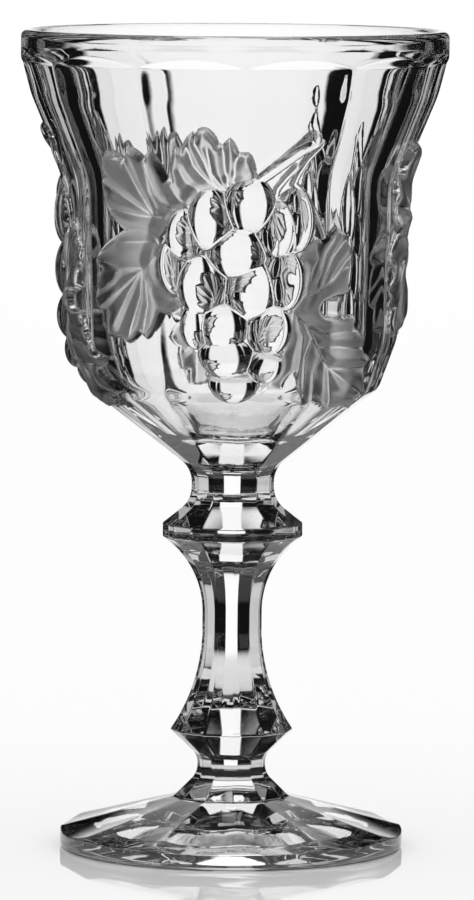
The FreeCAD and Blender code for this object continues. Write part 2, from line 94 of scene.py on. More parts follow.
def rounded(corners, spacing):
    """Points along a profile of corners (across, up, fillet), spaced about evenly by spacing(up)."""
    pieces = []
    for i, (x, z, *fillet) in enumerate(corners):
        here = np.array([x, z])
        if i in (0, len(corners) - 1) or not fillet:
            pieces.append([here])
            continue
        before = np.array(corners[i - 1][:2]) - here
        after = np.array(corners[i + 1][:2]) - here
        before /= np.linalg.norm(before)
        after /= np.linalg.norm(after)
        half = math.acos(float(np.clip(before @ after, -1, 1))) / 2
        run = fillet[0] / math.tan(half)
        middle = before + after
        centre = here + middle / np.linalg.norm(middle) * fillet[0] / math.sin(half)
        start, end = here + before * run - centre, here + after * run - centre
        turn = math.atan2(start[0] * end[1] - start[1] * end[0], float(start @ end))
        steps = max(4, int(abs(turn) * fillet[0] / ARC_STEP), int(abs(turn) / ARC_TURN))
        arc = []
        for t in np.linspace(0, turn, steps + 1):
            c, s = math.cos(t), math.sin(t)
            arc.append(centre + np.array([start[0] * c - start[1] * s, start[0] * s + start[1] * c]))
        pieces.append(arc)
    points = [pieces[0][0]]
    for piece in pieces:
        for point in piece:
            gap = np.linalg.norm(point - points[-1])
            if gap < SAME_POINT:
                continue
            steps = max(1, math.ceil(gap / spacing((point[1] + points[-1][1]) / 2)))
            start = points[-1]
            points += [start + (point - start) * (k + 1) / steps for k in range(steps)]
    return np.array(points)


def thinned(points, spacing):
    """Drops points that lie closer together than spacing asks, and keeps the ends."""
    kept = [points[0]]
    for point in points[1:-1]:
        if np.linalg.norm(point - kept[-1]) >= CROWDED * spacing(point[1]):
            kept.append(point)
    kept.append(points[-1])
    return np.array(kept)


ANGLES = np.arange(COLUMNS) * 2 * math.pi / COLUMNS + FRONT


def side_sum():
    """How near each column's direction is to the panels' middles, summed as a power for smooth ridges."""
    total = np.zeros_like(ANGLES)
    for k in range(SIDES):
        total += np.maximum(np.cos(ANGLES - (2 * k + 1) * HALF_SIDE), 0) ** PANEL_POWER
    return total


def panelled(flats, rounds):
    """Radii, by row and column, of a prism of SIDES panels trimmed by a round blank."""
    panels = np.log(side_sum())[None, :] - PANEL_POWER * np.log(flats)[:, None]
    blank = -PANEL_POWER * np.log(rounds)[:, None]
    return np.exp(-np.logaddexp(panels, blank) / PANEL_POWER)


def ring_points(radii, heights):
    """Positions of rows of rings: radii by row and column, and a height for each row or point."""
    z = np.broadcast_to(heights[:, None] if heights.ndim == 1 else heights, radii.shape)
    return np.stack([radii * np.cos(ANGLES), radii * np.sin(ANGLES), z], axis=2)


# ---------------------------------------------------------------- meshes

def make_mesh(name, points, faces, kinds, materials, zones, veins=None):
    """A piece from points in millimetres. faces is a list of index arrays (n x 3 or n x 4), kinds gives
    each face's material and zones each face's smooth area: an edge between two zones is sharp. veins is
    how near each point is to the middle of a leaf's vein, from 0 to 1."""
    counts = np.concatenate([np.full(len(f), f.shape[1]) for f in faces])
    loops = np.concatenate([f.ravel() for f in faces]).astype(np.int32)
    used, loops = np.unique(loops, return_inverse=True)
    points = points[used]
    mesh = bpy.data.meshes.new(name)
    mesh.vertices.add(len(points))
    mesh.vertices.foreach_set("co", (points * MM).astype(np.float32).ravel())
    mesh.loops.add(len(loops))
    mesh.loops.foreach_set("vertex_index", loops.astype(np.int32).ravel())
    mesh.polygons.add(len(counts))
    starts = np.concatenate([[0], np.cumsum(counts)[:-1]]).astype(np.int32)
    mesh.polygons.foreach_set("loop_start", starts)
    mesh.polygons.foreach_set("material_index", kinds.astype(np.int32))
    mesh.polygons.foreach_set("use_smooth", np.ones(len(counts), dtype=bool))
    mesh.update(calc_edges=True)
    edge_of_loop = np.empty(len(loops), dtype=np.int32)
    mesh.loops.foreach_get("edge_index", edge_of_loop)
    zone_of_loop = np.repeat(zones, counts)
    low = np.full(len(mesh.edges), zones.max())
    high = np.full(len(mesh.edges), zones.min())
    np.minimum.at(low, edge_of_loop, zone_of_loop)
    np.maximum.at(high, edge_of_loop, zone_of_loop)
    sharp = mesh.attributes.new("sharp_edge", "BOOLEAN", "EDGE")
    sharp.data.foreach_set("value", low != high)
    if veins is not None:
        marks = mesh.attributes.new("vein", "FLOAT", "POINT")
        marks.data.foreach_set("value", veins[used].astype(np.float32))
    for material in materials:
        mesh.materials.append(material)
    obj = bpy.data.objects.new(name, mesh)
    bpy.context.scene.collection.objects.link(obj)
    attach(obj, "root")
    return obj


def grid_faces(rows):
    """Quads between neighbouring rings, facing outwards when the rows run upwards."""
    row = np.arange(rows - 1)[:, None] * COLUMNS
    column = np.arange(COLUMNS)[None, :]
    after = (column + 1) % COLUMNS
    return np.stack([row + column, row + after, row + COLUMNS + after, row + COLUMNS + column], axis=2)


def pole_faces(first, pole, facing_down):
    """Triangles that close the ring that starts at index first with the point pole."""
    column = np.arange(COLUMNS)
    after = (column + 1) % COLUMNS
    a, b = (after, column) if facing_down else (column, after)
    return np.stack([first + a, first + b, np.full(COLUMNS, pole)], axis=1)


def turned_piece(name, rings, bottom, top, joints, face_kinds=None):
    """A closed piece of stacked rings of clear glass, with points on the axis at heights bottom and top.
    joints says of each of these two ends whether it is a joint, 0 or 1."""
    rows = len(rings)
    points = np.concatenate([rings.reshape(-1, 3), [(0, 0, bottom), (0, 0, top)]])
    quads = grid_faces(rows)
    kinds = np.zeros(quads.shape[:2], dtype=int) if face_kinds is None else face_kinds
    last = (rows - 1) * COLUMNS
    ends = [pole_faces(0, rows * COLUMNS, True), pole_faces(last, rows * COLUMNS + 1, False)]
    end_kinds = [np.full(COLUMNS, joint) for joint in joints]
    side_zone = np.zeros(kinds.size, dtype=int)
    return make_mesh(
        name, points, [quads.reshape(-1, 4), *ends],
        np.concatenate([kinds.ravel(), *end_kinds]), [CLEAR, JOINT],
        np.concatenate([side_zone, *end_kinds]))


# ---------------------------------------------------------------- materials

def node(tree, kind, **inputs):
    """A new node with values for its inputs, named with underscores for spaces."""
    made = tree.nodes.new(kind)
    for key, value in inputs.items():
        made.inputs[key.replace("_", " ")].default_value = value
    return made


def mixed(tree, share, first, second):
    """A mix of two numbers or of two colours (red, green, blue), each given as such or as a socket."""
    made = node(tree, "ShaderNodeMix")
    colours = isinstance(second, tuple)
    made.data_type = "RGBA" if colours else "FLOAT"
    tree.links.new(share, made.inputs[0])
    for k, value in zip((6, 7) if colours else (2, 3), (first, second)):
        if isinstance(value, bpy.types.NodeSocket):
            tree.links.new(value, made.inputs[k])
        else:
            made.inputs[k].default_value = (*value, 1) if colours else value
    return made.outputs[2 if colours else 0]


def new_material(name, kind):
    """A material with one shader of the given kind, and the shader and its tree."""
    material = bpy.data.materials.new(name)
    material.use_nodes = True
    tree = material.node_tree
    tree.nodes.clear()
    shader = node(tree, kind)
    tree.links.new(shader.outputs[0], node(tree, "ShaderNodeOutputMaterial").inputs["Surface"])
    return material, shader, tree


def glass_material(name, tint, painted_edge_shade, edge_shade_blend, roughness, spread, grain, vein_tint=None):
    """Clear or satin glass. The colour falls from tint to a darker edge colour where the surface turns
    away: painted shade at the edges, standing in for the dark surroundings that thick glass shows there.
    The roughness varies by spread, in soft clouds. grain is a list of bumps: (size in mm, height in mm,
    detail). Veins are clearer lines of vein_tint."""
    material, body, tree = new_material(name, "ShaderNodeBsdfPrincipled")
    body.inputs["IOR"].default_value = GLASS_IOR
    body.inputs["Transmission Weight"].default_value = 1.0
    place = node(tree, "ShaderNodeTexCoord").outputs["Object"]
    # Painted shade: the colour darkens where the surface turns away from the eye.
    facing = node(tree, "ShaderNodeLayerWeight", Blend=edge_shade_blend)
    colour = mixed(tree, facing.outputs["Facing"], tint, painted_edge_shade)
    cloud = node(tree, "ShaderNodeTexNoise", Scale=CLOUD_SCALE, Detail=3.0)
    tree.links.new(place, cloud.inputs["Vector"])
    rough = node(tree, "ShaderNodeMapRange", To_Min=max(roughness - spread, 0), To_Max=roughness + spread)
    tree.links.new(cloud.outputs[0], rough.inputs["Value"])
    rough = rough.outputs[0]
    if vein_tint:
        vein = node(tree, "ShaderNodeAttribute")
        vein.attribute_name = "vein"
        colour = mixed(tree, vein.outputs["Fac"], colour, vein_tint)
        rough = mixed(tree, vein.outputs["Fac"], rough, VEIN_ROUGHNESS)
    tree.links.new(colour, body.inputs["Base Color"])
    tree.links.new(rough, body.inputs["Roughness"])
    surface = body.inputs["Normal"]
    for size, height, detail in reversed(grain):
        noise = node(tree, "ShaderNodeTexNoise", Scale=1 / (size * MM), Detail=detail)
        tree.links.new(place, noise.inputs["Vector"])
        bump = node(tree, "ShaderNodeBump", Strength=1.0, Distance=height * MM)
        tree.links.new(noise.outputs[0], bump.inputs["Height"])
        tree.links.new(bump.outputs[0], surface)
        surface = bump.inputs["Normal"]
    return material


GLASS_IOR, VEIN_ROUGHNESS, CLOUD_SCALE = 1.52, 0.12, 90.0
# The second colour of each glass is painted shade for its edges.
CLEAR = glass_material("clear_glass", (0.99, 0.99, 0.99), (0.60, 0.60, 0.60), 0.35, 0.006, 0.006,
                       [(14.0, 0.05, 1.0), (2.2, 0.006, 2.0)])
SATIN = glass_material("satin_glass", (0.62, 0.62, 0.62), (0.30, 0.30, 0.30), 0.4, 0.36, 0.05,
                       [(0.35, 0.015, 2.0)], vein_tint=(0.98, 0.98, 0.98))
# Where two pieces of the one glass meet, light goes straight on.
JOINT = new_material("joint", "ShaderNodeBsdfTransparent")[0]


# ---------------------------------------------------------------- relief
# Seen straight at a relief's middle: millimetres across and up. Grapes: across, up, width, height, and
# how far the grape stands forward of its neighbours.
GRAPES = [
    (1.2, 135.7, 9.7, 10.9, 0.9), (-6.4, 132.6, 8.9, 11.8, 0.35), (-11.2, 129.2, 8.6, 10.6, -0.5),
    (-13.4, 123.6, 7.6, 11.6, -1.3), (6.8, 130.8, 8.9, 11.4, 0.0), (10.6, 132.4, 8.2, 12.2, -0.5),
    (-1.4, 126.0, 10.7, 10.3, 0.9), (-8.0, 119.4, 9.8, 12.0, 0.6), (8.3, 120.5, 8.6, 11.8, 0.0),
    (1.5, 118.3, 10.3, 12.0, 0.35), (-9.1, 111.2, 6.8, 9.0, -0.9), (-3.7, 111.0, 9.2, 9.4, 0.45),
    (5.3, 110.6, 9.2, 9.8, 0.35), (-3.2, 105.4, 10.4, 9.0, 0.25), (4.6, 103.6, 7.0, 7.6, -0.3),
    (-1.6, 99.9, 9.6, 8.6, 0.1),
]
UPPER_LEAF = [
    (2.4, 139.5), (2.2, 144.0), (0.8, 146.5), (-1.1, 146.3), (-3.0, 149.5), (-4.3, 147.9),
    (-5.2, 148.3), (-6.6, 150.6), (-8.2, 151.6), (-9.4, 150.8), (-9.9, 149.5), (-10.5, 150.6),
    (-12.2, 147.9), (-12.5, 147.1), (-13.7, 147.4), (-14.5, 144.5), (-14.2, 141.2), (-15.0, 141.0),
    (-18.8, 146.5), (-19.7, 145.1), (-23.0, 147.4), (-23.5, 144.8), (-27.0, 146.6), (-27.4, 145.8),
    (-27.3, 142.2), (-26.5, 141.0), (-27.7, 140.2), (-26.9, 137.1), (-26.7, 134.7), (-25.3, 132.0),
    (-22.3, 129.4), (-18.0, 128.6), (-12.0, 124.0), (-6.0, 128.0), (0.0, 134.0),
]
LOWER_LEAF = [
    (-22.3, 130.6), (-24.7, 129.0), (-28.5, 124.7), (-28.9, 123.1), (-27.6, 121.7), (-28.5, 118.0),
    (-28.5, 113.9), (-26.3, 112.9), (-26.1, 108.0), (-23.8, 108.1), (-22.3, 106.9), (-20.0, 109.2),
    (-18.8, 108.0), (-17.6, 109.6), (-15.4, 113.3), (-12.4, 114.3), (-8.0, 114.0), (-6.0, 124.0),
    (-14.0, 132.0), (-19.0, 131.8),
]
SMALL_LEAF = [
    (-8.0, 115.0), (-12.0, 115.4), (-14.3, 113.3), (-12.3, 112.2), (-14.6, 108.6), (-12.7, 106.7),
    (-12.3, 102.3), (-10.7, 102.0), (-10.5, 99.1), (-6.5, 99.4), (-5.3, 101.6), (-3.0, 106.0),
]
SIDE_LEAF = [
    (12.6, 128.0), (14.2, 129.6), (15.9, 128.4), (18.9, 131.6), (21.2, 129.4), (21.8, 127.4),
    (22.8, 125.7), (22.0, 122.2), (21.8, 117.4), (20.2, 116.6), (17.9, 116.4), (16.4, 115.6),
    (15.9, 114.3), (17.0, 112.9), (21.2, 112.9), (22.9, 112.8), (23.3, 110.0), (25.0, 108.6),
    (24.8, 106.3), (26.6, 103.5), (25.2, 101.4), (25.9, 96.6), (23.4, 95.2), (22.3, 93.1),
    (20.1, 94.3), (17.7, 93.2), (14.7, 95.1), (12.7, 93.9), (11.4, 98.0), (10.6, 101.3),
    (9.6, 100.4), (8.5, 97.9), (5.3, 97.9), (3.8, 96.7), (2.9, 100.0), (4.0, 108.0), (6.0, 118.0),
]
UPPER_VEINS = [
    [(-15.0, 132.6), (-17.3, 133.3), (-19.5, 137.3), (-23.3, 144.8)],
    [(-16.5, 134.1), (-18.2, 138.6), (-19.5, 144.8)],
    [(-17.3, 133.3), (-23.3, 137.2), (-27.6, 140.5)],
    [(-15.3, 132.9), (-20.3, 133.3), (-26.8, 134.5)],
    [(-18.3, 129.3), (-22.3, 130.0), (-24.7, 132.0), (-26.5, 134.4)],
    [(-3.2, 138.0), (-6.8, 140.6), (-9.9, 144.2), (-11.6, 148.9)],
    [(-8.6, 138.4), (-11.3, 140.6), (-12.6, 143.2)],
    [(-9.4, 134.4), (-12.6, 136.5), (-14.2, 139.8)],
    [(-5.3, 139.1), (-7.9, 145.3), (-10.1, 149.2)],
    [(-3.2, 138.1), (-6.3, 142.5), (-7.4, 147.6)],
    [(-2.7, 138.1), (-3.8, 144.3), (-4.1, 148.2)],
    [(-2.0, 139.7), (-1.8, 143.8), (-1.5, 146.8)],
    [(-8.5, 133.5), (-14.8, 134.9), (-17.1, 137.4), (-18.4, 141.5), (-19.2, 145.4)],
]
LOWER_VEINS = [
    [(-12.3, 130.2), (-15.3, 127.2), (-19.5, 122.0), (-22.2, 117.2), (-24.9, 110.4)],
    [(-19.5, 122.0), (-22.7, 119.0), (-28.6, 113.2)],
    [(-19.5, 122.0), (-19.8, 116.8), (-22.0, 108.4)],
    [(-19.0, 119.9), (-18.4, 115.4), (-19.3, 108.6)],
    [(-19.3, 122.5), (-23.7, 122.3), (-26.7, 123.4), (-28.9, 123.6)],
    [(-23.7, 122.3), (-25.0, 119.6), (-27.9, 117.2)],
    [(-16.3, 128.2), (-22.8, 127.6), (-24.7, 127.4), (-27.7, 125.0)],
]
SMALL_VEINS = [
    [(-6.5, 112.0), (-9.0, 107.0), (-9.0, 100.0)],
    [(-8.2, 109.0), (-11.5, 106.0)],
]
SIDE_VEINS = [
    [(10.0, 114.2), (12.7, 117.0), (16.5, 118.9), (18.2, 120.9), (22.3, 126.0)],
    [(14.6, 119.0), (16.3, 125.0), (19.3, 130.8)],
    [(13.0, 118.6), (14.8, 125.1), (14.4, 129.6)],
    [(17.0, 119.1), (19.5, 122.0), (22.0, 123.3)],
    [(15.7, 118.7), (17.8, 125.0), (21.2, 129.3)],
    [(10.0, 114.0), (12.8, 111.6), (14.9, 107.1), (17.1, 102.8), (25.0, 96.2)],
    [(17.1, 102.7), (21.4, 102.2), (24.9, 102.4), (26.7, 103.4)],
    [(15.2, 106.8), (18.7, 106.9), (24.6, 106.0)],
    [(13.4, 111.0), (17.0, 109.4), (23.2, 109.7)],
    [(17.1, 102.6), (17.8, 93.6)],
    [(15.8, 105.0), (14.6, 101.2), (14.4, 95.0)],
    [(14.2, 108.3), (12.8, 104.7), (12.6, 95.0)],
    [(11.1, 112.9), (12.4, 108.8), (11.4, 100.2)],
    [(10.3, 113.4), (9.9, 108.9), (7.6, 103.6), (5.6, 98.4)],
]
TWIG = [((3.6, 140.9), 1.15), ((8.4, 144.6), 1.25), ((11.6, 147.2), 1.4), ((14.0, 149.1), 1.75)]
TENDRILS = [
    [(15.7, 148.2), (13.0, 145.2), (11.2, 142.3), (10.2, 139.9), (12.7, 137.3), (14.6, 133.7),
     (16.2, 129.2)],
    [(10.6, 143.4), (8.6, 141.2), (6.9, 139.0), (6.2, 135.6)],
]
LEAVES = {
    "upper_leaf": (UPPER_LEAF, UPPER_VEINS),
    "side_leaf": (SIDE_LEAF, SIDE_VEINS),
    "lower_leaf": (LOWER_LEAF, LOWER_VEINS),
    "small_leaf": (SMALL_LEAF, SMALL_VEINS),
}
TOOTH_BULGE, TOOTH_STEPS = 0.07, 4  # a tooth's side bows out by this share of its length

# Leaves, in millimetres: their thickness, the width of the bevel, of which the outer share is polished,
# and how far the fields between the veins puff up, a reach away from a vein and from the edge.
LEAF_THICK, THICKER = 1.25, {"upper_leaf": 0.3, "side_leaf": 0.1, "lower_leaf": 0.0, "small_leaf": -0.5}
LEAF_EDGE, POLISHED = 0.8, 0.6
EDGE_LOW, EDGE_REACH = 0.25, 1.6
LEAF_PUFF, PUFF_REACH, VEIN_REACH, VEIN_CURVE = 0.75, 1.1, 1.2, 1.4
VEIN_WIDE, VEIN_SHINE = 0.22, 0.85
# The side leaf thins, by this share, from its right to the bunch and from its middle down: where the
# thinning starts, across and up, and over how much it grows.
THINNING, THIN_ACROSS, THIN_UP = 0.8, (11, 8), (111, 4)

# Grapes: how far they stand out of the wall, their size against the table, their depth against their
# width and how much of forward counts. Between two grapes the wall is raised to VALLEY.
GRAPE_STAND, GRAPE_SIZE, GRAPE_DEPTH, FORWARD = 2.3, 1.11, 0.70, 0.55
VALLEY, VALLEY_REACH, GRAPE_LEAST = 0.45, 1.08, 0.15
# Near the bunch a leaf dips by this share, over this part of a grape.
LEAF_DIP, DIP_REACH = 0.5, 0.4
# Heights of the twig and the tendrils as shares of their half widths, and the tendrils' half width.
TWIG_HIGH, TENDRIL_WIDE, TENDRIL_HIGH = 0.7, 0.75, 0.7

# The part of the wall that a relief covers: heights, and the angle to each side of its middle.
RELIEF_LOW, RELIEF_HIGH, RELIEF_SIDE = 92.5, 153.0, math.radians(58)
BARELY, SAME_HEIGHT = 0.02, 1e-4  # millimetres below which the wall is plain, and front meets back


def to_segment(x, z, a, b):
    """Distance from each place to the stretch a-b, and how far along it the nearest point is."""
    ax, az = a
    dx, dz = b[0] - ax, b[1] - az
    along = np.clip(((x - ax) * dx + (z - az) * dz) / (dx * dx + dz * dz), 0, 1)
    return np.hypot(x - ax - along * dx, z - az - along * dz), along


def to_line(x, z, line):
    """Distance from each place to a line of several stretches."""
    return np.minimum.reduce([to_segment(x, z, a, b)[0] for a, b in zip(line, line[1:])])


def smooth_outline(points):
    """Bows each edge of an anticlockwise outline outwards, so that leaf teeth are round-sided."""
    result = []
    for a, b in zip(points, points[1:] + points[:1]):
        dx, dz = b[0] - a[0], b[1] - a[1]
        for k in range(TOOTH_STEPS):
            t = k / TOOTH_STEPS
            out = 4 * TOOTH_BULGE * t * (1 - t)
            result.append((a[0] + dx * t + dz * out, a[1] + dz * t - dx * out))
    return result


def inside_by(x, z, outline):
    """Distance inside a closed outline, negative outside."""
    inside = np.zeros(x.shape, dtype=bool)
    nearest = np.full(x.shape, np.inf)
    for a, b in zip(outline, outline[1:] + outline[:1]):
        nearest = np.minimum(nearest, to_segment(x, z, a, b)[0])
        crosses = (a[1] > z) != (b[1] > z)
        with np.errstate(divide="ignore", invalid="ignore"):
            at = a[0] + (z - a[1]) * (b[0] - a[0]) / (b[1] - a[1])
        inside ^= crosses & (x < at)
    return np.where(inside, nearest, -nearest)


def ramp(t):
    """A smooth step from 0 to 1 while t does the same."""
    t = np.clip(t, 0, 1)
    return t * t * (3 - 2 * t)


def leaf_height(x, z, outline, veins, thick):
    """A leaf: bevelled sides, and a surface that is puffed up between its veins. Also tells how near the
    middle of a vein, or the polished edge, each place is."""
    depth = inside_by(x, z, smooth_outline(outline))
    height, shine = np.zeros_like(x), np.zeros_like(x)
    on = depth > 0
    depth = depth[on]
    vein = np.minimum.reduce([to_line(x[on], z[on], line) for line in veins])
    puff = LEAF_PUFF * (1 - np.exp(-(vein / VEIN_REACH) ** VEIN_CURVE))
    edge = 1 - EDGE_LOW + EDGE_LOW * ramp(depth / EDGE_REACH)
    bevel = np.sqrt(1 - (1 - np.minimum(depth / LEAF_EDGE, 1)) ** 2)
    height[on] = (thick[on] * edge + puff * ramp(depth / PUFF_REACH)) * bevel
    polished = 1 - ramp((depth / LEAF_EDGE - POLISHED) / (1 - POLISHED))
    shine[on] = np.maximum(VEIN_SHINE * np.exp(-(vein / VEIN_WIDE) ** 2), polished)
    return height, shine


def grape_height(x, y, z, normal, grape):
    """How far out along the wall's normal each place meets a grape."""
    gx, gz, width, height, forward = grape
    width, height = width * GRAPE_SIZE, height * GRAPE_SIZE
    half = np.array([width / 2, GRAPE_DEPTH * width / 2, height / 2])
    radius = np.interp(gz, WALL_LINE[:, 1], WALL_LINE[:, 0])
    away = radius + GRAPE_STAND + FORWARD * forward - half[1]
    turn = math.asin(gx / radius)
    centre = np.array([away * math.sin(turn), away * math.cos(turn), gz])
    p = (np.stack([x, y, z], axis=-1) - centre) / half
    n = normal / half
    nn, pn, pp = (n * n).sum(-1), (p * n).sum(-1), (p * p).sum(-1)
    inside = pn * pn - nn * (pp - 1)
    return np.where(inside > 0, (-pn + np.sqrt(np.maximum(inside, 0))) / nn, 0)


def relief_heights(x, y, z, normal):
    """The height of each kind of piece of one relief at the given places of the wall, and its veins."""
    rounds = [grape_height(x, y, z, normal, g) for g in GRAPES]
    cluster = np.maximum(np.maximum.reduce(rounds), 0)
    reach = VALLEY_REACH * GRAPE_SIZE / 2
    spans = [np.hypot((x - gx) / (reach * w), (z - gz) / (reach * h)) for gx, gz, w, h, _ in GRAPES]
    beside = sum(span < 1 for span in spans)
    cluster = np.where(cluster > GRAPE_LEAST, cluster, 0)
    cluster = np.where(beside > 1, np.maximum(cluster, VALLEY), cluster)
    close = ramp(1 - (np.minimum.reduce(spans) - 1) / DIP_REACH)
    room = np.where(cluster > 0, 0, 1 - LEAF_DIP * close)
    near, wide = np.full(x.shape, np.inf), np.zeros_like(x)
    for (a, wa), (b, wb) in zip(TWIG, TWIG[1:]):
        gap, along = to_segment(x, z, a, b)
        wide = np.where(gap < near, wa + (wb - wa) * along, wide)
        near = np.minimum(near, gap)
    twig = TWIG_HIGH * wide * np.sqrt(np.maximum(1 - (near / wide) ** 2, 0))
    for line in TENDRILS:
        gap = to_line(x, z, line) / TENDRIL_WIDE
        twig = np.maximum(twig, TENDRIL_HIGH * np.sqrt(np.maximum(1 - gap * gap, 0)))
    plain = np.zeros_like(x)
    found = {"grape_cluster": (cluster, plain), "vine_twig": (twig, plain)}
    across = ramp((x - THIN_ACROSS[0]) / THIN_ACROSS[1])
    up = ramp((z - THIN_UP[0]) / THIN_UP[1])
    for kind, (outline, veins) in LEAVES.items():
        thinning = THINNING * (1 - across) * (1 - up) if kind == "side_leaf" else plain
        thick = (LEAF_THICK + THICKER[kind]) * (1 - thinning)
        height, shine = leaf_height(x, z, outline, veins, thick)
        found[kind] = (height * room, shine)
    return found


# ---------------------------------------------------------------- bowl

FINE_BELOW, FINE_ABOVE, RELIEF_ROWS = 82.0, 161.0, (92.0, 153.5)
STEP_ROUND, STEP_OUT = 1.2, 1.4  # the panels end in a sloping step below the rim band
BAND_START, BAND_ROWS, LIP_ROWS = 1.8, 5, 17
MOUTH_ROUND, CAVITY_LIFT = 5.0, 1.2
CAVITY_FLOOR, CAVITY_MIDDLE = (13.0, 87.7, 9.0), 87.3


def bowl_spacing(up):
    """Millimetres between rows of the bowl's outside at a height."""
    if RELIEF_ROWS[0] < up < RELIEF_ROWS[1]:
        return RELIEF_ROW
    return FINE_ROW if up < FINE_BELOW or up > FINE_ABOVE else PLAIN_ROW


def bowl_rows():
    """Distance to the panels, radius of the round blank, and height, for the rows of the outside. Also
    gives the number of rows below the rim band."""
    step = (RIM_RADIUS - RIM_STEP) * FLAT
    ridges = [
        (NECK_RADIUS, NECK),
        (NECK_RADIUS, NECK + NECK_FLARE, NECK_ROUND),
        SHOULDER,
        BELLY,
        WAIST,
        (RIM_RADIUS - FLARE_INSET, FLARE_HEIGHT, FLARE_ROUND),
    ]
    corners = [(radius * FLAT, *place) for radius, *place in ridges] + [
        (step, BAND - (RIM_RADIUS - step), STEP_ROUND),
        (RIM_RADIUS + STEP_OUT, BAND + STEP_OUT),
    ]
    flats = thinned(rounded(corners, bowl_spacing), bowl_spacing)
    rounds = np.full(len(flats), RIM_RADIUS)
    lip = WALL / 2
    band = np.array([(RIM_RADIUS, z) for z in np.linspace(BAND + BAND_START, TOP - lip, BAND_ROWS)])
    turn = np.linspace(0, math.pi, LIP_ROWS)[1:]
    top = np.stack([RIM_RADIUS - lip + lip * np.cos(turn), TOP - lip + lip * np.sin(turn)], axis=1)
    far = np.full(len(band) + len(top), 3 * RIM_RADIUS)
    rows = np.concatenate([flats[:, 1], band[:, 1], top[:, 1]])
    return (np.concatenate([flats[:, 0], far]),
            np.concatenate([rounds, band[:, 0], top[:, 0]]), rows, len(flats))


def cavity_rows():
    """Radius and height of the rows of the cavity, from the lip down to the floor's edge."""
    mouth = RIM_RADIUS - WALL
    wall = [(radius * FLAT - WALL, *place) for radius, *place in (WAIST, BELLY, SHOULDER)]
    wall[-1] = (wall[-1][0], wall[-1][1] + CAVITY_LIFT, wall[-1][2])
    corners = [(mouth, TOP - WALL / 2), (mouth, BAND, MOUTH_ROUND), *wall, CAVITY_FLOOR,
               (POLE, CAVITY_MIDDLE)]
    return thinned(rounded(corners, lambda up: CAVITY_ROW), lambda up: CAVITY_ROW)[1:]


flats, rounds, heights, skin_rows = bowl_rows()
WALL_LINE = np.stack([flats[:skin_rows] / FLAT, heights[:skin_rows]], axis=1)
outside = ring_points(panelled(flats, rounds), heights)
hollow = cavity_rows()
inside = ring_points(np.repeat(hollow[:, :1], COLUMNS, axis=1), hollow[:, 1])

slope = np.gradient(WALL_LINE, axis=0)
slope /= np.linalg.norm(slope, axis=1)[:, None]
tilt_out, tilt_up = slope[:, 1][:, None], -slope[:, 0][:, None]
wall = outside[:skin_rows]
normals = np.stack([tilt_out * np.cos(ANGLES), tilt_out * np.sin(ANGLES),
                    np.broadcast_to(tilt_up, wall.shape[:2])], axis=2)

KINDS = ["grape_cluster", "vine_twig", *LEAVES]
lift = np.zeros(wall.shape[:2])
owner = np.full(wall.shape[:2], -1)
vein_lines = np.zeros(wall.shape[:2])
relief_band = (heights[:skin_rows] > RELIEF_LOW) & (heights[:skin_rows] < RELIEF_HIGH)
for turn_index, turn in enumerate(RELIEF_TURNS):
    middle = FRONT + turn
    away = (ANGLES - middle + math.pi) % (2 * math.pi) - math.pi
    columns = np.abs(away) < RELIEF_SIDE
    area = np.ix_(relief_band, columns)
    c, s = math.cos(middle), math.sin(middle)
    px, py, pz = wall[area][..., 0], wall[area][..., 1], wall[area][..., 2]
    nx, ny, nz = (normals[area][..., k] for k in range(3))
    across, toward = -px * s + py * c, px * c + py * s
    local = np.stack([-nx * s + ny * c, nx * c + ny * s, nz], axis=-1)
    found = relief_heights(across, toward, pz, local)
    best, who, lines = lift[area], owner[area], vein_lines[area]
    for kind_index, kind in enumerate(KINDS):
        height, line = found[kind]
        higher = height > best
        best = np.where(higher, height, best)
        who = np.where(higher, turn_index * len(KINDS) + kind_index, who)
        lines = np.where(higher, line, lines)
    lift[area], owner[area], vein_lines[area] = best, who, lines

skin = wall + normals * lift[..., None]
skin_faces = grid_faces(skin_rows)
corner_lift = lift.ravel()[skin_faces]
tallest = np.take_along_axis(owner.ravel()[skin_faces], corner_lift.argmax(-1)[..., None], -1)[..., 0]
tallest = np.where(corner_lift.max(-1) > BARELY, tallest, -1)

rings = np.concatenate([outside, inside])
face_kinds = np.zeros((len(rings) - 1, COLUMNS), dtype=int)
face_kinds[:skin_rows - 1][tallest >= 0] = 1
bowl = turned_piece("bowl_glass", rings, NECK, CAVITY_MIDDLE, (1, 0), face_kinds)
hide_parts("bowl")


def relief_piece(name, faces, material):
    """A closed piece whose front is the skin, whose back is the wall, and whose sides join the two."""
    count = skin_rows * COLUMNS
    lifted = lift.ravel() > SAME_HEIGHT
    back_of = np.where(lifted, np.arange(count) + count, np.arange(count))
    points = np.concatenate([skin.reshape(-1, 3), wall.reshape(-1, 3)])
    edges = np.concatenate([faces[:, [k, (k + 1) % 4]] for k in range(4)])
    order = np.sort(edges, axis=1)
    keys = order[:, 0] * count + order[:, 1]
    _, first, repeats = np.unique(keys, return_index=True, return_counts=True)
    rim = edges[first[repeats == 1]]
    a, b = rim[:, 0], rim[:, 1]
    both, only_a, only_b = lifted[a] & lifted[b], lifted[a] & ~lifted[b], ~lifted[a] & lifted[b]
    sides = np.stack([b, a, back_of[a], back_of[b]], axis=1)[both]
    ends = np.concatenate([np.stack([b, a, back_of[a]], axis=1)[only_a],
                           np.stack([b, a, back_of[b]], axis=1)[only_b]])
    back = back_of[faces[:, ::-1]]
    parts = [faces, back, sides, ends]
    kinds = np.concatenate([np.full(len(p), 0 if k == 0 else 1) for k, p in enumerate(parts)])
    zones = np.concatenate([np.full(len(p), min(k, 2)) for k, p in enumerate(parts)])
    return make_mesh(name, points, parts, kinds, [material, JOINT], zones,
                     veins=np.tile(vein_lines.ravel(), 2))


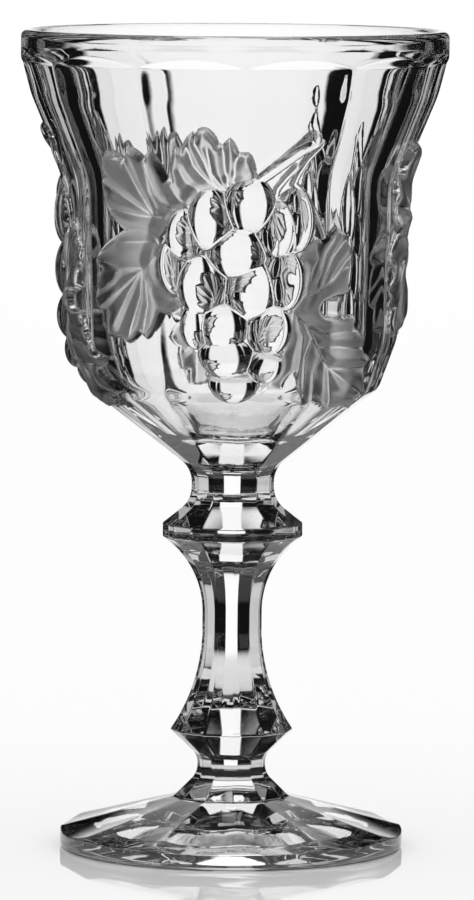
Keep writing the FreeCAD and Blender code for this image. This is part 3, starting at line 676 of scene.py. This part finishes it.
for index in range(len(RELIEF_TURNS) * len(KINDS)):
    kind = KINDS[index % len(KINDS)]
    label = "%s_%d" % (kind, index // len(KINDS) + 1)
    piece = relief_piece(label + "_glass", skin_faces[tallest == index],
                         SATIN if kind.endswith("leaf") else CLEAR)
    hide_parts(label)


# ---------------------------------------------------------------- stem

RING_RADIUS, SHAFT_RADIUS, KNOP_RADIUS = 12.8, 6.2, 14.6
CRISP = 0.35  # the fillet of the ring and of the knop
SHAFT = (30.0, 58.0)  # between these heights the rows are plain
STEM_CLOSEST = 0.2


def stem_spacing(up):
    """Millimetres between rows of the stem at a height."""
    return PLAIN_ROW if SHAFT[0] <= up <= SHAFT[1] else FINE_ROW


stem_corners = [
    (ANKLE_RADIUS, FOOT_TOP),
    (ANKLE_RADIUS, FOOT_TOP + 1.9, 3.6),
    (RING_RADIUS, 24.3, CRISP),
    (SHAFT_RADIUS, 34.8, 37.0),
    (SHAFT_RADIUS, 58.2, 19.0),
    (KNOP_RADIUS, 64.8, CRISP),
    (KNOP_RADIUS, 67.6, CRISP),
    (NECK_RADIUS, 72.3, NECK_ROUND),
    (NECK_RADIUS, NECK),
]
stem_line = thinned(rounded(stem_corners, stem_spacing), lambda up: STEM_CLOSEST)
stem_blank = np.full(len(stem_line), RIM_RADIUS)
stem_rings = ring_points(panelled(stem_line[:, 0] * FLAT, stem_blank), stem_line[:, 1])
stem = turned_piece("stem_glass", stem_rings, FOOT_TOP, NECK, (1, 1))
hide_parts("stem")


# ---------------------------------------------------------------- foot

FACET_HIGH, FACET_LOW = (12.0 * FLAT, 10.28), (41.7, 2.15)
FLARE_SLOPE = 0.27  # fall of the neck's last stretch for each millimetre outwards
FLUTE_START, FLUTE_END, FLUTE_ROUND = (13.0, 9.9), (FOOT_RADIUS, 3.1), 68.0
FOOT_NECK_DROP, FOOT_NECK_ROUND, FOOT_FLARE_ROUND = 1.85, 4.0, 2.0
TOP_START, TOP_ROWS = 13.2, 46
RIM_ROUND, RIM_ROWS = 1.2, 10
RIM_TRIM = [(FOOT_RADIUS, 3.0), (FOOT_RADIUS, 3.8, RIM_ROUND), (12.0, FOOT_TOP)]
EDGE_ROUND, EDGE_ROWS, SIDE_ROWS = 0.8, 6, (0.75, 0.5, 0.25)
BEARING_ROWS = (33.5, 32.0, 30.5, 29.0, 28.0)
RECESS_HEIGHT = 2.6
RECESS = [(27.0, 0.0), (18.9, 2.08, 27.0), (POLE, RECESS_HEIGHT)]
NECK_STEP, NECK_CLOSEST, TRIM_STEP, RECESS_STEP = 0.45, 0.3, 0.5, 1.0  # millimetres between rows


def foot_top(radii):
    """Height of the fluted top: flat facets that slope out, cut by flutes."""
    panel = radii * side_sum() ** (1 / PANEL_POWER)
    (high_x, high_z), (low_x, low_z) = FACET_HIGH, FACET_LOW
    facet = high_z + (low_z - high_z) / (low_x - high_x) * (panel - high_x)
    fall = (FLUTE_END[1] - FLUTE_START[1]) / (FLUTE_END[0] - FLUTE_START[0])
    across = np.maximum(radii ** 2 - panel ** 2, 0)
    dish = (FLUTE_ROUND - np.sqrt(FLUTE_ROUND ** 2 - across)) * math.hypot(1, fall)
    flute = FLUTE_START[1] + fall * (panel - FLUTE_START[0]) + dish
    return np.where(panel > FLUTE_START[0], np.minimum(facet, flute), facet)


def foot_rows():
    """Rings of the foot from the middle of its underside to the joint: radii and heights by column."""
    def circle(radius, height):
        return np.full(COLUMNS, radius), np.full(COLUMNS, height)

    ridge = side_sum() ** (-1 / PANEL_POWER)
    neck = rounded([
        (ANKLE_RADIUS * FLAT, FOOT_TOP),
        (ANKLE_RADIUS * FLAT, FOOT_TOP - FOOT_NECK_DROP, FOOT_NECK_ROUND),
        (*FACET_HIGH, FOOT_FLARE_ROUND),
        (TOP_START, FACET_HIGH[1] - FLARE_SLOPE * (TOP_START - FACET_HIGH[0])),
    ], lambda up: NECK_STEP)
    rows = [(x * ridge, np.full(COLUMNS, z)) for x, z in thinned(neck, lambda up: NECK_CLOSEST)]
    inner = FOOT_RADIUS - RIM_ROUND
    for share in np.linspace(0, 1, TOP_ROWS)[1:]:
        radii = (TOP_START + (inner - TOP_START) * share) * (ridge * (1 - share) + share)
        rows.append((radii, foot_top(radii)))
    edge = rounded(RIM_TRIM, lambda up: TRIM_STEP)[::-1]
    for turn in np.linspace(0, math.pi / 2, RIM_ROWS)[1:]:
        radii = np.full(COLUMNS, inner + RIM_ROUND * math.sin(turn))
        rows.append((radii, np.minimum(foot_top(radii), np.interp(radii, edge[:, 0], edge[:, 1]))))
    side_top = rows[-1][1]
    for share in SIDE_ROWS:
        rows.append((np.full(COLUMNS, FOOT_RADIUS), EDGE_ROUND + (side_top - EDGE_ROUND) * share))
    for turn in np.linspace(0, math.pi / 2, EDGE_ROWS):
        out, down = math.cos(turn), math.sin(turn)
        rows.append(circle(FOOT_RADIUS - EDGE_ROUND * (1 - out), EDGE_ROUND * (1 - down)))
    rows += [circle(radius, 0.0) for radius in BEARING_ROWS]
    rows += [circle(x, z) for x, z in rounded(RECESS, lambda up: RECESS_STEP)]
    return rows[::-1]


levels = foot_rows()
foot_points = ring_points(np.array([r for r, z in levels]), np.array([z for r, z in levels]))
foot = turned_piece("foot_glass", foot_points, RECESS_HEIGHT, FOOT_TOP, (0, 1))
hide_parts("foot")


# ---------------------------------------------------------------- stage

def maths(tree, operation, *values):
    """The result of one sum, of numbers and sockets."""
    made = node(tree, "ShaderNodeMath")
    made.operation = operation
    for k, value in enumerate(values):
        if isinstance(value, (int, float)):
            made.inputs[k].default_value = value
        else:
            tree.links.new(value, made.inputs[k])
    return made.outputs[0]


def soft_step(tree, value, start, end, low, high):
    """A smooth change from low to high while the value goes from start to end."""
    made = node(tree, "ShaderNodeMapRange")
    made.interpolation_type = "SMOOTHSTEP"
    for name, number in zip(("From Min", "From Max", "To Min", "To Max"), (start, end, low, high)):
        made.inputs[name].default_value = number
    tree.links.new(value, made.inputs["Value"])
    return made.outputs[0]


def studio_world():
    """Soft white light from all round for the eye and the table. The glass sees the windows instead."""
    world = bpy.data.worlds.new("studio")
    bpy.context.scene.world = world
    world.use_nodes = True
    tree = world.node_tree
    sky = tree.nodes["Background"]
    sky.inputs["Color"].default_value = (1, 1, 1, 1)
    rays = node(tree, "ShaderNodeLightPath").outputs
    plain = maths(tree, "MAXIMUM", rays["Is Camera Ray"], rays["Is Diffuse Ray"])
    tree.links.new(maths(tree, "MAXIMUM", plain, rays["Is Shadow Ray"]), sky.inputs["Strength"])


# Windows of white card with dark flags between them, in metres. There is a window behind the goblet and
# one at each quarter turn from it, and a dimmer one on each diagonal. WINDOW and DIAGONAL are half
# widths, seen from the axis, and SOFT is half the width of their edges.
BEHIND = math.radians(87)
SCREEN_RADIUS, SCREEN_HEIGHT, SCREEN_SIDES = 0.35, 0.70, 96
WINDOW, DIAGONAL, SOFT = math.radians(13), math.radians(8), math.radians(2)
WINDOW_LIGHT, DIAGONAL_LIGHT, FLAG_LIGHT = 1.1, 0.7, 0.006
WINDOW_TOP, WINDOW_END = 0.30, 0.42  # heights between which the windows fade
CARD_START, CARD_FADE = 0.09, 0.16  # distances on the table between which their pattern fades in
MIRRORED, MIRRORED_SOFT = math.radians(30), math.radians(10)  # what reflections see of them
ROOM_RADIUS, ROOM_HEIGHT = 9.0, 6.0
FLOOR_REACH, FLOOR_GAP = 6.0, 0.0002
FLOOR_COLOUR, FLOOR_ROUGHNESS = (0.97, 0.97, 0.97, 1), 0.05


def window_light(tree):
    """Light of the windows and flags by direction from the goblet, by height and, on the table, by
    distance. Reflections in the glass see only the window behind, so that it stays clear. Gives the
    emission, the kinds of ray and the distance from the goblet's foot."""
    place = node(tree, "ShaderNodeTexCoord").outputs["Object"]
    axes = node(tree, "ShaderNodeSeparateXYZ")
    tree.links.new(place, axes.inputs[0])
    turn = maths(tree, "SUBTRACT", maths(tree, "ARCTAN2", axes.outputs[1], axes.outputs[0]), BEHIND)
    fold = maths(tree, "PINGPONG", turn, math.pi / 4)
    window = soft_step(tree, fold, WINDOW - SOFT, WINDOW + SOFT, WINDOW_LIGHT, 0.0)
    edge = math.pi / 4 - DIAGONAL
    diagonal = soft_step(tree, fold, edge - SOFT, edge + SOFT, 0.0, DIAGONAL_LIGHT)
    low = soft_step(tree, axes.outputs[2], WINDOW_TOP, WINDOW_END, 1.0, 0.0)
    lit = maths(tree, "MULTIPLY", maths(tree, "MAXIMUM", window, diagonal), low)
    away = maths(tree, "PINGPONG", turn, math.pi)
    far = soft_step(tree, away, MIRRORED - MIRRORED_SOFT, MIRRORED + MIRRORED_SOFT, 0.0, 1.0)
    rays = node(tree, "ShaderNodeLightPath").outputs
    hidden = maths(tree, "MULTIPLY", far, maths(tree, "MINIMUM", rays["Glossy Depth"], 1.0))
    lit = maths(tree, "MULTIPLY", lit, maths(tree, "SUBTRACT", 1.0, hidden))
    length = node(tree, "ShaderNodeVectorMath")
    length.operation = "LENGTH"
    tree.links.new(place, length.inputs[0])
    distance = length.outputs["Value"]
    table = soft_step(tree, distance, CARD_START, CARD_FADE, 1.0, FLAG_LIGHT)
    shade = maths(tree, "MAXIMUM", lit, table)
    grey = node(tree, "ShaderNodeCombineColor")
    for k in range(3):
        tree.links.new(shade, grey.inputs[k])
    light = node(tree, "ShaderNodeEmission", Strength=1.0)
    tree.links.new(grey.outputs[0], light.inputs["Color"])
    return light, rays, distance


def stage_object(name, points, faces):
    """An object of the stage with a material that isn't sampled as a lamp. Gives also its tree."""
    mesh = bpy.data.meshes.new(name)
    mesh.from_pydata(points, [], faces)
    obj = bpy.data.objects.new(name, mesh)
    bpy.context.scene.collection.objects.link(obj)
    material = bpy.data.materials.new(name)
    material.use_nodes = True
    material.cycles.emission_sampling = "NONE"
    mesh.materials.append(material)
    return obj, material.node_tree


def screen_mesh(name, radius, height, lit):
    """A round screen with a lid, open below, whose light reaches only the objects in lit. It is seen
    only by reflection and through glass."""
    n = SCREEN_SIDES
    turns = [2 * math.pi * k / n for k in range(n)]
    ring = [(radius * math.cos(turn), radius * math.sin(turn)) for turn in turns]
    points = [(x, y, z) for z in (-FLOOR_GAP, height) for x, y in ring]
    faces = [(k, (k + 1) % n, n + (k + 1) % n, n + k) for k in range(n)] + [tuple(range(n, 2 * n))]
    screen, tree = stage_object(name, points, faces)
    tree.nodes.clear()
    screen.visible_camera = False
    screen.visible_diffuse = False
    screen.visible_shadow = False
    screen.visible_volume_scatter = False
    group = bpy.data.collections.new("lit_by_" + name)
    for obj in lit:
        group.objects.link(obj)
    screen.light_linking.receiver_collection = group
    return tree, node(tree, "ShaderNodeOutputMaterial").inputs["Surface"]


def studio_screens(floor, glass):
    """White windows and dark flags for the glass alone, and round them plain white for the table's
    gloss. The table's rays go through the windows, and those of the glass end there."""
    tree, surface = screen_mesh("windows", SCREEN_RADIUS, SCREEN_HEIGHT, glass)
    light, rays, _ = window_light(tree)
    both = node(tree, "ShaderNodeAddShader")
    clear = node(tree, "ShaderNodeBsdfTransparent")
    passed = maths(tree, "MINIMUM", rays["Transmission Depth"], 1.0)
    tree.links.new(light.outputs[0], both.inputs[0])
    tree.links.new(maths(tree, "SUBTRACT", 1.0, passed), clear.inputs["Color"])
    tree.links.new(clear.outputs[0], both.inputs[1])
    tree.links.new(both.outputs[0], surface)
    tree, surface = screen_mesh("room", ROOM_RADIUS, ROOM_HEIGHT, [floor])
    tree.links.new(node(tree, "ShaderNodeEmission", Strength=1.0).outputs[0], surface)


def studio_floor():
    """A pale polished table top that mirrors the foot a little. Glass sees the windows' pattern on it,
    as far as their screen."""
    r = FLOOR_REACH
    corners = [(-r, -r, 0), (r, -r, 0), (r, r, 0), (-r, r, 0)]
    floor, tree = stage_object("floor", corners, [(0, 1, 2, 3)])
    floor.location.z = -FLOOR_GAP
    body = tree.nodes["Principled BSDF"]
    body.inputs["Base Color"].default_value = FLOOR_COLOUR
    body.inputs["Roughness"].default_value = FLOOR_ROUGHNESS
    cards, rays, distance = window_light(tree)
    mix = node(tree, "ShaderNodeMixShader")
    card = soft_step(tree, distance, CARD_START, CARD_FADE, 0.0, 1.0)
    by_glass = maths(tree, "MAXIMUM", rays["Is Transmission Ray"], rays["Is Glossy Ray"])
    tree.links.new(maths(tree, "MULTIPLY", card, by_glass), mix.inputs[0])
    tree.links.new(body.outputs[0], mix.inputs[1])
    tree.links.new(maths(tree, "LESS_THAN", distance, SCREEN_RADIUS), cards.inputs["Strength"])
    tree.links.new(cards.outputs[0], mix.inputs[2])
    tree.links.new(mix.outputs[0], tree.nodes["Material Output"].inputs["Surface"])
    return floor


# The photograph's view: metres from the axis, above the table and to the right, and its turns.
CAMERA_DISTANCE, CAMERA_HEIGHT, CAMERA_ASIDE = 1.390, 0.215, 0.00083
CAMERA_TURN, CAMERA_PITCH, CAMERA_ROLL = math.radians(-3.0), math.radians(5.436), math.radians(0.33)
SENSOR, LENS, FAR_END = 24.0, 179.15, 50.0


def studio_camera():
    """A long lens low above the table, looking down a little."""
    data = bpy.data.cameras.new("camera")
    data.sensor_fit = "VERTICAL"
    data.sensor_height = SENSOR
    data.lens = LENS
    data.clip_end = FAR_END
    camera = bpy.data.objects.new("camera", data)
    camera.rotation_mode = "QUATERNION"
    turned = Matrix.Rotation(CAMERA_TURN, 4, "Z")
    raised = Matrix.Rotation(math.pi / 2 - CAMERA_PITCH, 4, "X")
    place = turned @ Vector((CAMERA_ASIDE, -CAMERA_DISTANCE, CAMERA_HEIGHT))
    look = turned @ raised @ Matrix.Rotation(CAMERA_ROLL, 4, "Z")
    camera.matrix_world = Matrix.Translation(place) @ look
    bpy.context.scene.collection.objects.link(camera)
    bpy.context.scene.camera = camera


glass_pieces = [obj for obj in bpy.context.scene.objects if obj.name.endswith("_glass")]
studio_world()
studio_screens(studio_floor(), glass_pieces)
studio_camera()
bpy.context.scene.view_settings.view_transform = "Standard"
# Bounces enough for light to cross the wall, the relief and the far side of the bowl.
cycles = bpy.context.scene.cycles
cycles.max_bounces = 24
cycles.transmission_bounces = 24
cycles.glossy_bounces = 12
cycles.transparent_max_bounces = 64
